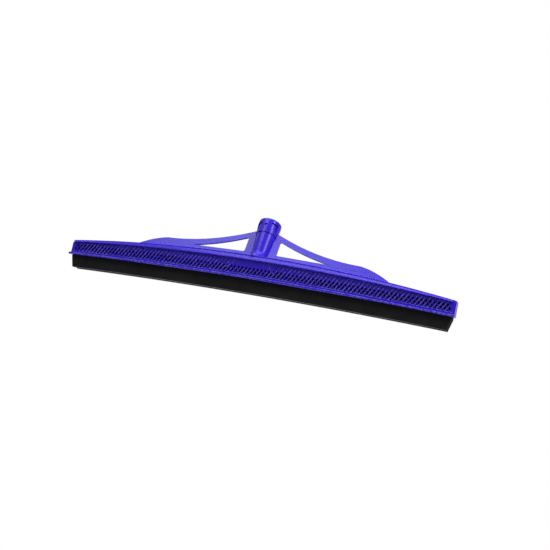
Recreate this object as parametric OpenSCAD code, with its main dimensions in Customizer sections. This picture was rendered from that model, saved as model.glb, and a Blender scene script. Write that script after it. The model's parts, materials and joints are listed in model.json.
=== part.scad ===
// Floor squeegee head: an arched plastic beam with a diamond grille on both faces, two rubber strips
// held between the grilles and a middle web, and a leaning handle socket braced by two open wings.
// Units are millimetres. +X runs along the head, +Z is up and the socket leans back towards +Y.
// The origin is on the floor, under the middle of the head's bounding box.

/* [Head] */
// Length of the beam
head_len = 550; // [450:10:700]
// Height of the grille flange above the floor, at the ends
flange_end_z = 17.1; // [17.1:0.1:22]
// Height of the grille flange above the floor, in the middle
flange_mid_z = 23; // [20:0.1:24]
// Height of the beam's top above the floor, at the ends
top_end_z = 37.6; // [37.4:0.1:40]
// Height of the beam's top above the floor, in the middle
top_mid_z = 55.6; // [54:0.1:58]

/* [Top bar] */
// Thickness of the top bar at the ends
bar_end_h = 3; // [2.6:0.1:3.4]
// Thickness of the top bar in the middle
bar_mid_h = 8.2; // [7:0.1:9]
// How far the top bar stands out from the grille faces
bar_overhang = 3.3; // [2:0.1:5]
// Radius of the top bar's long upper edges
bar_round = 3.2; // [1:0.2:3.4]
// How far each end of the top bar lies inside the grille's end
bar_inset = 1; // [0:0.5:1.5]
// Chamfer of the top bar's corners, seen from above
bar_corner = 6; // [2:0.5:7]

/* [Rubber strips] */
// Thickness of one strip
strip_t = 6; // [5:0.5:7.5]
// Free gap between the two strips
strip_gap = 6; // [5.5:0.5:9]
// Height of the strip that the beam holds, above the flange
strip_grip = 15.2; // [12:0.2:15.4]
// Height of the line where a strip bends
flex_z = 15.5; // [13:0.5:15.5]
// How far each end of a strip lies inside the beam's end
strip_inset = 3.5; // [3:0.5:12]
// How much further in each lower corner of a strip lies than its upper one
strip_slant = 4.5; // [0:0.5:8]
// How far a strip's lower edge arches up in the middle
strip_arch = 4.5; // [1:0.1:6]
// Running gap between a strip's lip and its root
flex_gap = 0.3; // [0.2:0.05:0.5]
// Gap on each side of a strip in its slot
strip_fit = 0.1; // [0.05:0.05:0.2]

/* [Grille] */
// Thickness of a grille plate
grille_t = 2.2; // [1.8:0.1:3]
// How far the flange stands out from the grille face
flange_out = 3.3; // [2:0.1:5]
// Thickness of the flange
flange_h = 2.7; // [2:0.1:3.5]
// Height of the plain band above the flange's underside
band_h = 5; // [4:0.2:6]
// Distance between two diamonds of a row
cell_pitch = 5.5; // [5:0.1:8]
// Distance between two rows of diamonds
row_pitch = 4.2; // [3.8:0.1:6]
// Width of the ribs between the diamonds
rib_w = 1.3; // [1:0.1:1.8]
// Plain margin at each end of the grille
end_margin = 4; // [3:0.5:8]
// How far each end of a grille plate lies inside the end of its flange
plate_inset = 2; // [0:0.5:3]
// How much further in each end of the rear grille lies than the front one's
rear_inset = 6; // [0:0.5:8]
// Smallest open area of a clipped diamond
cell_min_area = 1; // [0.6:0.1:2]
// Radius of the curve at each side of the plain apron below the socket
apron_r = 12.5; // [8:0.5:14]
// Width and height of the fine line round the apron
apron_line = 0.8; // [0.5:0.1:1.2]

/* [Core] */
// Thickness of the core's front and rear walls
wall_t = 2.2; // [1.8:0.1:3]
// Thickness of each skin of the web between the strips
web_t = 2; // [1.6:0.1:2.6]
// Thickness of the core's cross ribs
cross_t = 8; // [7:0.5:10]
// Distance between two cross ribs
cross_pitch = 56; // [48:1:58]
// Gap between pieces that are put together
fit = 0.15; // [0.05:0.05:0.3]

/* [Socket] */
// Lean of the socket and wings from upright, in degrees
lean = 20; // [18:0.1:23]
// Distance of the socket's axis behind the middle of the strips, at the floor
axis_back = -8.5; // [-11:0.1:-8]
// Width of the saddle that carries the socket
saddle_w = 50; // [46:1:60]
// Length of the socket's axis from the floor to the mouth
mouth_s = 117.1; // [112:0.1:130]
// Length of the collar
collar_len = 22.2; // [20:0.2:26]
// Outer radius of the collar
collar_r = 16; // [15.8:0.1:18]
// Outer radius of the socket tube inside the collar
tube_top_r = 14; // [13.8:0.1:14.2]
// Outer radius of the socket tube at its foot
tube_foot_r = 11.5; // [11.5:0.1:13]
// Radius of the bore for the handle
bore_r = 11.5; // [10.5:0.1:12]
// Length of the straight part of the bore
bore_len = 24; // [23:0.5:28]
// Radius of the bore at its closed end
bore_end_r = 8.5; // [7:0.1:9]
// Length of the tapered part of the bore
taper_len = 24; // [16:0.5:26]
// Thickness of the collar's rim over the tube
rim_t = 2; // [1.5:0.1:3]
// Radius of the collar's rounded upper edge
rim_round = 2.4; // [1:0.1:3]
// Outer radius of the collar at its lower edge
collar_low_r = 15; // [14.8:0.1:15.6]
// Height over which the collar widens from its lower edge
collar_taper = 14; // [8:0.5:16]
// Height of the collar's windows
window_h = 9.4; // [6:0.2:11]
// Width of the collar's windows, in degrees
window_angle = 40; // [20:1:50]
// Direction of the collar's windows from the front, in degrees
window_turn = 46; // [40:1:60]
// Radius of the hole for the handle's screw
pin_hole_r = 1.9; // [1.5:0.1:2.5]
// How far the socket's root stands out from the top bar
root_out = 0.8; // [0.4:0.1:1.5]
// How far the socket's root stands out from the tube's foot, at its sides and back
root_wide = 0.7; // [0.5:0.1:1.2]
// How far the root's slope runs up the front of the tube's foot
root_lap = 1.5; // [1.3:0.1:2]
// Height of the root's heel, and of the step between its front and the bar's top
root_step = 1; // [0.6:0.1:1.4]

/* [Wings] */
// Thickness of the wings
wing_t = 3; // [2:0.2:4]
// Distance from the middle to a wing's tip
wing_len = 192; // [170:1:210]
// Distance from the middle to the crest of a wing's leaf end
leaf_x = 141; // [125:1:145]
// Height of that crest above the saddle's seat, along the lean
leaf_rise = 20.1; // [18:0.1:22]
// How far a wing's tip lies below that crest
leaf_drop = 19.8; // [18:0.2:21]
// How far the leaf's end bows out above a straight edge
leaf_bow = 2.9; // [1:0.1:4]
// Height of a wing's root above the collar's lower edge, along the lean
wing_root = 7.9; // [7:0.1:10]
// How far a wing's upper edge sags below a straight edge
wing_sag = 7.3; // [4:0.1:9]
// Distance from the middle to the near edge of a wing's opening
gap_near = 23; // [21:0.5:26]
// Distance from the middle to the far corner of a wing's opening
gap_far = 101; // [80:1:110]
// Height of the opening's near lower corner above the saddle's seat, along the lean
gap_low = 16.6; // [15:0.2:18]
// Height of the opening's near edge
gap_h = 23; // [16:0.2:24]
// How far the opening's far corner lies below its near lower corner
gap_dip = 1.8; // [1:0.2:3]
// How far the opening's upper edge sags below a straight edge
gap_sag = 2.7; // [1:0.1:4]
// Radius of the corners of a wing's opening
gap_round = 1.5; // [0.5:0.1:2]

/* [Screws] */
// Radius of the screws
screw_r = 1.5; // [1.2:0.1:1.8]
// Radius of the screw heads
head_r = 2.8; // [2.2:0.1:3]
// Height of the screw heads
head_h = 1.8; // [1.2:0.1:2.2]
// Outer radius of the front grille's screw bosses
boss_r = 2.5; // [2.2:0.1:2.7]
// Distance of a saddle screw from the middle
saddle_screw_x = 18.5; // [17:0.5:19]
// Depth to which a saddle screw enters the core
saddle_screw_bite = 7; // [4:0.5:8]
// Gap round a screw in its hole
screw_fit = 0.05; // [0.02:0.01:0.1]

/* [Hidden] */
$fn = 96;
plastic = [0.25, 0.2, 0.75];
rubber = [0.07, 0.07, 0.07];
steel = [0.72, 0.73, 0.75];

// Depths, measured from the plane midway between the strips
slot_t = strip_t + 2 * strip_fit;
strip_y = (strip_gap + slot_t) / 2;
grille_in = strip_gap / 2 + slot_t;
grille_out = grille_in + grille_t;
bar_half = grille_out + bar_overhang;
half_len = head_len / 2;
bar_x = half_len - bar_inset;
strip_half = half_len - strip_inset;
strip_low_half = strip_half - strip_slant;

// The long curves, as heights above the floor over the distance from the middle
function sag(x, mid, end) = mid - (mid - end) * pow(x / half_len, 2);
top_r = (pow(half_len, 2) + pow(top_mid_z - top_end_z, 2)) / (2 * (top_mid_z - top_end_z));
flange_z = function(x) sag(x, flange_mid_z, flange_end_z);
top_z = function(x) top_mid_z - top_r + sqrt(pow(top_r, 2) - x * x);
bar_low = function(x) top_z(x) - sag(x, bar_mid_h, bar_end_h);
grip_z = function(x) flange_z(x) + strip_grip;
block_low = function(x) grip_z(x) + fit;
block_high = function(x) bar_low(x) + bar_end_h / 3;
grille_top = function(x) bar_low(x) - fit;
band_z = function(x) flange_z(x) + band_h;
floor_z = function(x) 0;
under_floor = function(x) -flange_end_z;
strip_low = function(x) strip_arch * (1 - pow(x / strip_low_half, 2));

// The socket's axis starts on the floor and leans back
axis_rise = cos(lean);
axis_run = sin(lean);
function axis_at(s) = [0, axis_back + s * axis_run, s * axis_rise];
collar_s = mouth_s - collar_len;
tube_end_s = mouth_s - rim_t;
seat_z = bar_low(saddle_w / 2);
seat_s = seat_z / axis_rise;
window_s = collar_s + collar_len / 2;
root_r = tube_foot_r + root_wide;
root_join_s = seat_s + tube_foot_r;
apron_half = saddle_w / 2;
apron_low = grip_z;

// The box's middle lies between the socket's root and the back of the collar's rounded rim
box_front = -bar_half - root_out;
box_back = axis_back + (mouth_s - rim_round) * axis_run + (collar_r - rim_round) * axis_rise + rim_round;
mid_y = -(box_front + box_back) / 2;

// Clamp screws sit halfway up the wall between the strips and the top bar
screw_turns = [1, 2, 3];
screw_xs = [for (side = [-1, 1], k = screw_turns) side * k * cross_pitch];
screw_z = function(x) (block_low(x) + bar_low(x)) / 2;
boss_end = grille_in - strip_gap;
saddle_screw_y = -strip_y;
saddle_head_z = top_mid_z - head_h - 1;
cross_count = floor((half_len - end_margin) / cross_pitch);

// Outline helpers
curve_steps = 48;
function along(x0, x1, z, n = curve_steps) = [for (i = [0:n]) let (x = x0 + (x1 - x0) * i / n) [x, z(x)]];
function flipped(pts) = [for (i = [len(pts) - 1:-1:0]) pts[i]];
function band(x0, x1, low, high, n = curve_steps) = concat(along(x0, x1, low, n), flipped(along(x0, x1, high, n)));

// Points on the arc from a to c that passes through b
function arc_centre(a, b, c) =
    let (d = 2 * (a.x * (b.y - c.y) + b.x * (c.y - a.y) + c.x * (a.y - b.y)))
    [(a * a * (b.y - c.y) + b * b * (c.y - a.y) + c * c * (a.y - b.y)) / d,
     (a * a * (c.x - b.x) + b * b * (a.x - c.x) + c * c * (b.x - a.x)) / d];
function arc(a, b, c, n = 12) =
    let (m = arc_centre(a, b, c), r = norm(a - m), from = atan2(a.y - m.y, a.x - m.x),
         turn = atan2(c.y - m.y, c.x - m.x) - from)
    [for (i = [0:n]) m + r * [cos(from + turn * i / n), sin(from + turn * i / n)]];

// Polygon pts, cut to where keep(point) is positive
function crossing(p, q, keep) = p + (q - p) * keep(p) / (keep(p) - keep(q));
function clip(pts, keep) = [
    for (i = [0:len(pts) - 1])
        let (p = pts[i], q = pts[(i + 1) % len(pts)])
        each concat(keep(p) > 0 ? [p] : [], keep(p) * keep(q) < 0 ? [crossing(p, q, keep)] : [])];
function area(pts) = len(pts) < 3 ? 0 :
    abs([for (i = [0:len(pts) - 1]) cross(pts[i], pts[(i + 1) % len(pts)])] * [for (p = pts) 1]) / 2;

// A shape in the X and Z plane, as a plate from y0 to y1
module plate(y0, y1) {
    translate([0, y1, 0]) rotate([90, 0, 0]) linear_extrude(y1 - y0) children();
}

// A round bar along Y
module cross_pin(x, z, r, y0, y1) {
    translate([x, y1, z]) rotate([90, 0, 0]) cylinder(r = r, h = y1 - y0);
}

module in_box() {
    translate([0, mid_y, 0]) children();
}

// Places children on the socket's leaning axis, with its length as their Z
module on_axis() {
    translate([0, axis_back, 0]) rotate([-lean, 0, 0]) children();
}

// Top bar: a rounded section turned along the arch, cut to its changing thickness
module bar_section() {
    depth = bar_mid_h + bar_overhang;
    translate([top_r - depth, -bar_half]) square([depth - bar_round, 2 * bar_half]);
    translate([top_r - depth, bar_round - bar_half]) square([depth, 2 * (bar_half - bar_round)]);
    for (side = [-1, 1])
        translate([top_r - bar_round, side * (bar_half - bar_round)]) circle(r = bar_round);
}

module bar_between(x0, x1) {
    turns = 20;
    turn = asin(half_len * 1.02 / top_r) * 2 / turns;
    intersection() {
        translate([0, 0, top_mid_z - top_r]) rotate([90, 0, 0])
            for (k = [0:turns - 1])
                rotate_extrude(angle = turn, start = 90 + (k - turns / 2) * turn, $fn = 256) bar_section();
        plate(-2 * bar_half, 2 * bar_half) polygon(band(x0, x1, bar_low, function(x) top_z(x) + bar_mid_h));
    }
}

// What the chamfers take off the top bar's four corners
module bar_corners() {
    for (turn = [0, 1], side = [0, 1]) mirror([turn, 0, 0]) mirror([0, side, 0])
        linear_extrude(2 * top_mid_z)
            polygon([[bar_x - bar_corner, bar_half + bar_corner], [bar_x - bar_corner, bar_half],
                     [bar_x, bar_half - bar_corner], [bar_x + bar_corner, bar_half - bar_corner],
                     [bar_x + bar_corner, bar_half + bar_corner]]);
}

// Core: the top bar, the walls behind the grilles and the double web between the strips
module core_layer(x0, x1, y0, y1, low) {
    plate(y0, y1) polygon(band(x0, x1, low, block_high, max(4, ceil(curve_steps * (x1 - x0) / head_len))));
}

module beam_core() {
    web_half = strip_gap / 2;
    web_low = function(x) flange_z(x) + flange_h / 2;
    end_x = strip_half + fit + wall_t;
    hub_half = saddle_w / 2 + wall_t;
    color(plastic) in_box() difference() {
        union() {
            difference() {
                bar_between(-bar_x, bar_x);
                bar_corners();
            }
            for (side = [0, 1]) mirror([0, side, 0]) {
                core_layer(-end_x, end_x, grille_in - wall_t, grille_in, block_low);
                core_layer(-end_x, end_x, web_half - web_t, web_half, web_low);
            }
            for (k = [-cross_count:cross_count]) {
                reach = k == 0 ? hub_half : cross_t / 2;
                core_layer(k * cross_pitch - reach, k * cross_pitch + reach, -grille_in, grille_in, block_low);
                core_layer(k * cross_pitch - reach, k * cross_pitch + reach, -web_half, web_half, web_low);
            }
            for (side = [-1, 1]) {
                x0 = side > 0 ? end_x - wall_t : -end_x;
                core_layer(x0, x0 + wall_t, -grille_in, grille_in, web_low);
            }
        }
        translate([-saddle_w / 2 - fit, -2 * bar_half, seat_z])
            cube([saddle_w + 2 * fit, 4 * bar_half, top_mid_z]);
        for (x = screw_xs) {
            cross_pin(x, screw_z(x), boss_r + fit, -2 * grille_in, fit - boss_end);
            cross_pin(x, screw_z(x), screw_r + fit, -boss_end, 2 * grille_in);
        }
        for (side = [-1, 1])
            translate([side * saddle_screw_x, saddle_screw_y, seat_z - saddle_screw_bite - fit])
                cylinder(r = screw_r + screw_fit, h = top_mid_z);
    }
}

// Grille: a plate with a flange, pierced by rows of diamonds that follow the flange's arch
cell_half_w = cell_pitch / 2;
cell_shrink = 1 - rib_w / 2 * norm([cell_half_w, row_pitch]) / (cell_half_w * row_pitch);
row_count = ceil((top_mid_z - flange_mid_z) / row_pitch);
column_count = floor((half_len - end_margin) / cell_pitch);
function cell(x, z) = [for (k = [0:3]) [x, z] + cell_shrink * [cell_half_w * cos(90 * k), row_pitch * sin(90 * k)]];
function trimmed(pts) = clip(clip(pts, function(p) p.y - band_z(p.x)), function(p) grille_top(p.x) - rib_w / 2 - p.y);

// Positive on the plain apron below the socket, whose sides curve outwards
function on_apron(p) =
    let (x = abs(p.x), centre = [apron_half + apron_r, bar_low(apron_half)])
    p.y > apron_low(p.x) && x < centre.x + cell_half_w
    && (x < apron_half || norm([x, p.y] - centre) > apron_r - cell_half_w);
function on_pad(p) = min([for (x = screw_xs) norm(p - [x, screw_z(x)])]) < head_r + row_pitch / 2;

module diamonds(front, half) {
    for (row = [0:row_count], column = [-column_count:column_count]) {
        x = (column + (row % 2) / 2) * cell_pitch;
        z = flange_z(x) + band_h + row * row_pitch;
        open = trimmed(cell(x, z));
        shut = front ? on_apron([x, z]) : on_pad([x, z]);
        if (abs(x) + cell_half_w < half - end_margin && area(open) > cell_min_area && !shut)
            polygon(open);
    }
}

// A grille in front of the strips, as the front one stands; the rear one is its mirror image
module grille(front) {
    half = half_len - (front ? 0 : rear_inset);
    flange_top = function(x) flange_z(x) + flange_h;
    plate_half = half - plate_inset;
    plate(-grille_out, -grille_in) difference() {
        polygon(band(-plate_half, plate_half, flange_z, grille_top));
        diamonds(front, half);
    }
    plate(-grille_out - flange_out, -grille_in) polygon(band(-half, half, flange_z, flange_top));
}

module apron_lines() {
    for (side = [0, 1]) mirror([side, 0, 0])
        plate(-grille_out - apron_line / 2, -grille_in - grille_t / 2) intersection() {
            translate([apron_half + apron_r, bar_low(apron_half)]) difference() {
                circle(r = apron_r + apron_line / 2);
                circle(r = apron_r - apron_line / 2);
            }
            polygon(band(apron_half - apron_line, apron_half + apron_r, apron_low, grille_top));
        }
}

module front_grille() {
    color(plastic) in_box() difference() {
        union() {
            grille(true);
            apron_lines();
            for (x = screw_xs) cross_pin(x, screw_z(x), boss_r, -grille_in - grille_t / 2, -boss_end);
        }
        for (x = screw_xs) cross_pin(x, screw_z(x), screw_r + screw_fit, -grille_in, 0);
    }
}

module rear_grille() {
    color(plastic) in_box() mirror([0, 1, 0]) difference() {
        grille(false);
        for (x = screw_xs) cross_pin(x, screw_z(x), screw_r + fit, -2 * grille_out, 0);
    }
}

// Rubber strips, each in two solids that meet at the line where the strip bends
module strip_root(side) {
    color(rubber) in_box() translate([0, side * strip_y, 0]) difference() {
        plate(-strip_t / 2, strip_t / 2) polygon(band(-strip_half, strip_half, function(x) flex_z, grip_z));
        translate([-head_len, 0, flex_z]) rotate([0, 90, 0]) cylinder(r = strip_t / 2 + flex_gap, h = 2 * head_len);
    }
}

module strip_lip(side) {
    far = 2 * flex_z;
    color(rubber) in_box() translate([0, side * strip_y, 0]) difference() {
        translate([-strip_half, 0, 0]) rotate([90, 0, 90]) linear_extrude(2 * strip_half) {
            translate([-strip_t / 2, 0]) square([strip_t, flex_z]);
            translate([0, flex_z]) circle(r = strip_t / 2);
        }
        for (end = [0, 1]) mirror([end, 0, 0])
            plate(-strip_t, strip_t) polygon([
                [strip_half, flex_z], [strip_low_half, 0], [strip_low_half - strip_slant, -flex_z],
                [strip_half + far, -flex_z], [strip_half + far, flex_z]]);
        plate(-strip_t, strip_t) polygon(band(-strip_low_half, strip_low_half, under_floor, strip_low));
    }
}

module front_strip_root() { strip_root(-1); }
module front_strip_lip() { strip_lip(-1); }
module rear_strip_root() { strip_root(1); }
module rear_strip_lip() { strip_lip(1); }

// Handle bracket: saddle, tapered socket and two wings with an open triangle each
leaf_s = seat_s + leaf_rise;
gap_low_s = seat_s + gap_low;
wing_start = [tube_foot_r, collar_s + wing_root];
leaf_crest = [leaf_x, leaf_s];
wing_tip = [wing_len, leaf_s - leaf_drop];
gap_top = [gap_near, gap_low_s + gap_h];
gap_tip = [gap_far, gap_low_s - gap_dip];
function bowed(a, b, bow) = arc(a, (a + b) / 2 + [0, bow], b);
wing_outline = concat(bowed(wing_start, leaf_crest, -wing_sag), bowed(leaf_crest, wing_tip, leaf_bow),
                      [[wing_len, seat_s - wing_t], [0, seat_s - wing_t], [0, wing_start.y]]);
gap_outline = concat([[gap_near, gap_low_s]], bowed(gap_top, gap_tip, -gap_sag));

module wing() {
    difference() {
        polygon(wing_outline);
        offset(r = gap_round) offset(delta = -gap_round) polygon(gap_outline);
    }
}

// The wings stop at the top bar, at the saddle's seat and short of the collar
module wings() {
    difference() {
        on_axis() for (side = [0, 1]) mirror([side, 0, 0]) plate(-wing_t / 2, wing_t / 2) wing();
        for (side = [0, 1]) mirror([side, 0, 0])
            plate(-head_len, head_len)
                polygon(band(saddle_w / 2, half_len, floor_z, function(x) top_z(x) + fit));
        on_axis() translate([0, 0, collar_s - fit]) cylinder(r = collar_r + fit, h = 2 * collar_len);
    }
}

module socket_outside() {
    on_axis() {
        translate([0, 0, root_join_s]) cylinder(r1 = tube_foot_r, r2 = tube_top_r, h = collar_s - root_join_s);
        translate([0, 0, collar_s]) cylinder(r = tube_top_r, h = tube_end_s - collar_s);
    }
}

// Point in Y and Z at s on the socket's axis, moved back by r, square to the axis
function beside_axis(s, r) = [axis_back + s * axis_run + r * axis_rise, s * axis_rise - r * axis_run];

// The socket's root: a block with round ends over the top bar, sloped up to the tube
module socket_root() {
    front = box_front;
    front_join = beside_axis(root_join_s + root_lap, root_wide / 2 - tube_foot_r);
    rear_join = beside_axis(root_join_s + root_lap / 2, root_r);
    intersection() {
        translate([0, 0, seat_z]) linear_extrude(mouth_s) {
            for (y = [front + root_r, rear_join.x - root_r]) translate([0, y]) circle(r = root_r);
            translate([-root_r, front + root_r]) square([2 * root_r, rear_join.x - front - 2 * root_r]);
        }
        translate([-head_len, 0, 0]) rotate([90, 0, 90]) linear_extrude(2 * head_len)
            polygon([[front, 0], [front, seat_z + bar_mid_h - root_step], front_join, rear_join,
                     [bar_half, seat_z + root_step], [bar_half, 0]]);
    }
}

// What is taken out of the socket: the bore with its taper, and the hole for the handle's screw
module socket_inside() {
    on_axis() {
        translate([0, 0, mouth_s - bore_len]) cylinder(r = bore_r, h = 2 * bore_len);
        translate([0, 0, mouth_s - bore_len - taper_len]) cylinder(r1 = bore_end_r, r2 = bore_r, h = taper_len);
        translate([0, 0, window_s]) rotate([90, 0, 0]) cylinder(r = pin_hole_r, h = 2 * collar_r);
    }
}

module handle_bracket() {
    color(plastic) in_box() difference() {
        union() {
            bar_between(-saddle_w / 2, saddle_w / 2);
            socket_outside();
            socket_root();
            wings();
        }
        socket_inside();
        translate([-head_len, -head_len, seat_z - head_len]) cube([2 * head_len, 2 * head_len, head_len]);
        for (side = [-1, 1]) translate([side * saddle_screw_x, saddle_screw_y, 0]) {
            cylinder(r = screw_r + fit, h = top_mid_z);
            translate([0, 0, saddle_head_z]) cylinder(r = head_r + fit, h = top_mid_z);
        }
    }
}

// Collar: a cap over the socket's end, with four windows that show the tube
module collar_section() {
    polygon([[0, 0], [collar_low_r, 0], [collar_r, collar_taper], [collar_r, collar_len - rim_round],
             [collar_r - rim_round, collar_len - rim_round], [collar_r - rim_round, collar_len], [0, collar_len]]);
    translate([collar_r - rim_round, collar_len - rim_round]) intersection() {
        circle(r = rim_round);
        square(rim_round);
    }
}

module socket_collar() {
    color(plastic) in_box() difference() {
        on_axis() translate([0, 0, collar_s]) rotate_extrude() collar_section();
        on_axis() {
            translate([0, 0, collar_s - collar_len]) cylinder(r = tube_top_r + fit, h = collar_len + tube_end_s - collar_s);
            for (turn = [window_turn, 180 - window_turn, 180 + window_turn, -window_turn])
                translate([0, 0, window_s - window_h / 2])
                    rotate_extrude(angle = window_angle, start = turn - 90 - window_angle / 2)
                        translate([bore_r, 0]) square([collar_r, window_h]);
        }
        socket_inside();
    }
}

// Screws, each with a round head
module screw(length) {
    cylinder(r = head_r, h = head_h);
    translate([0, 0, -length]) cylinder(r = screw_r, h = length);
}

module clamp_screws() {
    color(steel) in_box() for (x = screw_xs)
        translate([x, grille_out, screw_z(x)]) rotate([-90, 0, 0]) screw(grille_out + grille_in - screw_r);
}

module saddle_screws() {
    color(steel) in_box() for (side = [-1, 1])
        translate([side * saddle_screw_x, saddle_screw_y, saddle_head_z])
            screw(saddle_head_z - seat_z + saddle_screw_bite);
}

beam_core();
front_grille();
rear_grille();
handle_bracket();
socket_collar();
front_strip_root();
front_strip_lip();
rear_strip_root();
rear_strip_lip();
clamp_screws();
saddle_screws();
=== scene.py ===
"""Floor squeegee head, dressed: a moulded plastic beam with pierced grilles, a handle bracket, a socket
collar, two rubber strips, and zinc plated screws, in a plain soft studio.

Sizes are in millimetres and angles in degrees, unless a name says otherwise.
"""

import json
import logging
import math
from dataclasses import dataclass
from enum import Enum
from functools import reduce
from typing import Any, Callable, Optional, Sequence, Union

import bmesh
import bpy
from bmesh.types import BMesh
from mathutils import Matrix, Vector

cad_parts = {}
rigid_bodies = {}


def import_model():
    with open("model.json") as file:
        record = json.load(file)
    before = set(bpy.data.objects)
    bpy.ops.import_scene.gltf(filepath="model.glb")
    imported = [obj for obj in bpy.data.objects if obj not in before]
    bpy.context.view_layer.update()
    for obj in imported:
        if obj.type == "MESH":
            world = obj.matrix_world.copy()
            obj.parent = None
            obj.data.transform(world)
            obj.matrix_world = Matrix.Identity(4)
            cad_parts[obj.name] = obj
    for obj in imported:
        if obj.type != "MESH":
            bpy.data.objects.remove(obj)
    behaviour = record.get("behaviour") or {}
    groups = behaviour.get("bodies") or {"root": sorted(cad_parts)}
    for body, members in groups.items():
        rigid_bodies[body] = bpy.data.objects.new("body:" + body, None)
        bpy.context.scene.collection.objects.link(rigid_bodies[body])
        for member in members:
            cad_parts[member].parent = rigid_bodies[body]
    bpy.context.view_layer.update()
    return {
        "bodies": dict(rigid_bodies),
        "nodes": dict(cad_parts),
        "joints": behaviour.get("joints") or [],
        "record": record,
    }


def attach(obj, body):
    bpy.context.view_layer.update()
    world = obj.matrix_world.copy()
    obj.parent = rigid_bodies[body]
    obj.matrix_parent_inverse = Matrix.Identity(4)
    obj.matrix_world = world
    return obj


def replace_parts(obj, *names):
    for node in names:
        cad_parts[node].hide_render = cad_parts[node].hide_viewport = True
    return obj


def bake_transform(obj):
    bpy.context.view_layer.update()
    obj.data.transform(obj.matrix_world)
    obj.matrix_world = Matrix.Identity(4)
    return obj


MM = 0.001
PHOTO_SIDE_PX = 550
# Marks faces for the plastic's lighter edge colour: scuffs, and a painted highlight where edges catch
# light.
WEAR_AND_HIGHLIGHT_EDGE = "wear_and_highlight_edge"
CREASE_DEG = 40
Colour = tuple[float, float, float]
Curve = Callable[[float], float]

log = logging.getLogger("squeegee")


@dataclass(frozen=True)
class HeadSizes:
    """Driving sizes of the head, as its solids have them, apart from the section of the top bar."""

    head_len: float = 550.0
    flange_end_z: float = 17.1
    flange_mid_z: float = 23.0
    top_end_z: float = 37.6
    top_mid_z: float = 55.6
    bar_end_h: float = 3.0
    bar_mid_h: float = 8.2
    bar_half: float = 14.7
    bar_round: float = 0.7
    bar_steps: tuple[tuple[float, float], ...] = ((2.6, 0.0), (2.4, 0.32), (0.0, 0.84), (0.6, 1.0))
    bar_inset: float = 1.0
    bar_corner: float = 6.0
    saddle_w: float = 50.0
    strip_grip: float = 15.2
    strip_t: float = 6.0
    strip_y: float = 6.1
    strip_inset: float = 3.5
    strip_slant: float = 4.5
    strip_arch: float = 4.5
    flex_z: float = 15.5
    grille_in: float = 9.2
    grille_out: float = 11.4
    flange_h: float = 2.7
    wall_t: float = 2.2
    web_t: float = 2.0
    web_half: float = 3.0
    cross_t: float = 8.0
    cross_pitch: float = 56.0
    fit: float = 0.15
    mid_y: float = -15.2048
    lean: float = 20.0
    axis_back: float = -8.5
    mouth_s: float = 117.1
    collar_len: float = 22.2
    screw_head_r: float = 2.8
    screw_head_h: float = 1.8
    saddle_screw_x: float = 18.5
    saddle_screw_sink: float = 1.0

    @property
    def half_len(self) -> float:
        """Half the beam's length."""
        return self.head_len / 2

    @property
    def strip_half(self) -> float:
        """Half the length of a strip."""
        return self.half_len - self.strip_inset

    @property
    def clamp_xs(self) -> list[float]:
        """Places of the clamp screws along the head."""
        return [side * k * self.cross_pitch for side in (-1, 1) for k in (1, 2, 3)]

    @property
    def seat_z(self) -> float:
        """Height of the seat that the handle bracket stands on."""
        return self.bar_low(self.saddle_w / 2)

    @property
    def collar_s(self) -> float:
        """Place of the collar's lower edge on the socket's axis."""
        return self.mouth_s - self.collar_len

    @property
    def saddle_screw_z(self) -> float:
        """Height of the seats of the saddle screws' heads."""
        return self.top_mid_z - self.screw_head_h - self.saddle_screw_sink

    def sag(self, x: float, mid: float, end: float) -> float:
        """Value at x of a parabola that has one value in the middle and another at the ends."""
        return mid - (mid - end) * (x / self.half_len) ** 2

    def flange_z(self, x: float) -> float:
        """Height of the flanges' underside."""
        return self.sag(x, self.flange_mid_z, self.flange_end_z)

    def top_z(self, x: float) -> float:
        """Height of the beam's top, along a circle's arc."""
        rise = self.top_mid_z - self.top_end_z
        radius = (self.half_len ** 2 + rise ** 2) / (2 * rise)
        return self.top_mid_z - radius + math.sqrt(radius ** 2 - x * x)

    def bar_h(self, x: float) -> float:
        """Thickness of the top bar."""
        return self.sag(x, self.bar_mid_h, self.bar_end_h)

    def bar_low(self, x: float) -> float:
        """Height of the top bar's underside."""
        return self.top_z(x) - self.bar_h(x)

    def grip_z(self, x: float) -> float:
        """Height of a strip's upper edge."""
        return self.flange_z(x) + self.strip_grip

    def block_low(self, x: float) -> float:
        """Height of the underside of the core's walls."""
        return self.grip_z(x) + self.fit

    def web_low(self, x: float) -> float:
        """Height of the underside of the double web."""
        return self.flange_z(x) + self.flange_h / 2

    def screw_z(self, x: float) -> float:
        """Height of a clamp screw's axis."""
        return (self.block_low(x) + self.bar_low(x)) / 2


class Term:
    """A shader socket that takes part in Python arithmetic, which adds Math nodes."""

    def __init__(self, graph: "Graph", socket: bpy.types.NodeSocket) -> None:
        """Wraps a socket of a graph."""
        self.graph = graph
        self.socket = socket

    def _math(self, operation: str, first: "Input", second: "Input") -> "Term":
        """Adds one Math node and gives its result."""
        return self.graph.add("ShaderNodeMath", {"operation": operation}, {0: first, 1: second})

    def __add__(self, other: "Input") -> "Term":
        """Sum."""
        return self._math("ADD", self, other)

    def __mul__(self, other: "Input") -> "Term":
        """Product."""
        return self._math("MULTIPLY", self, other)

    __radd__ = __add__
    __rmul__ = __mul__


Input = Union[Term, float, Sequence[float], str]


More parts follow.
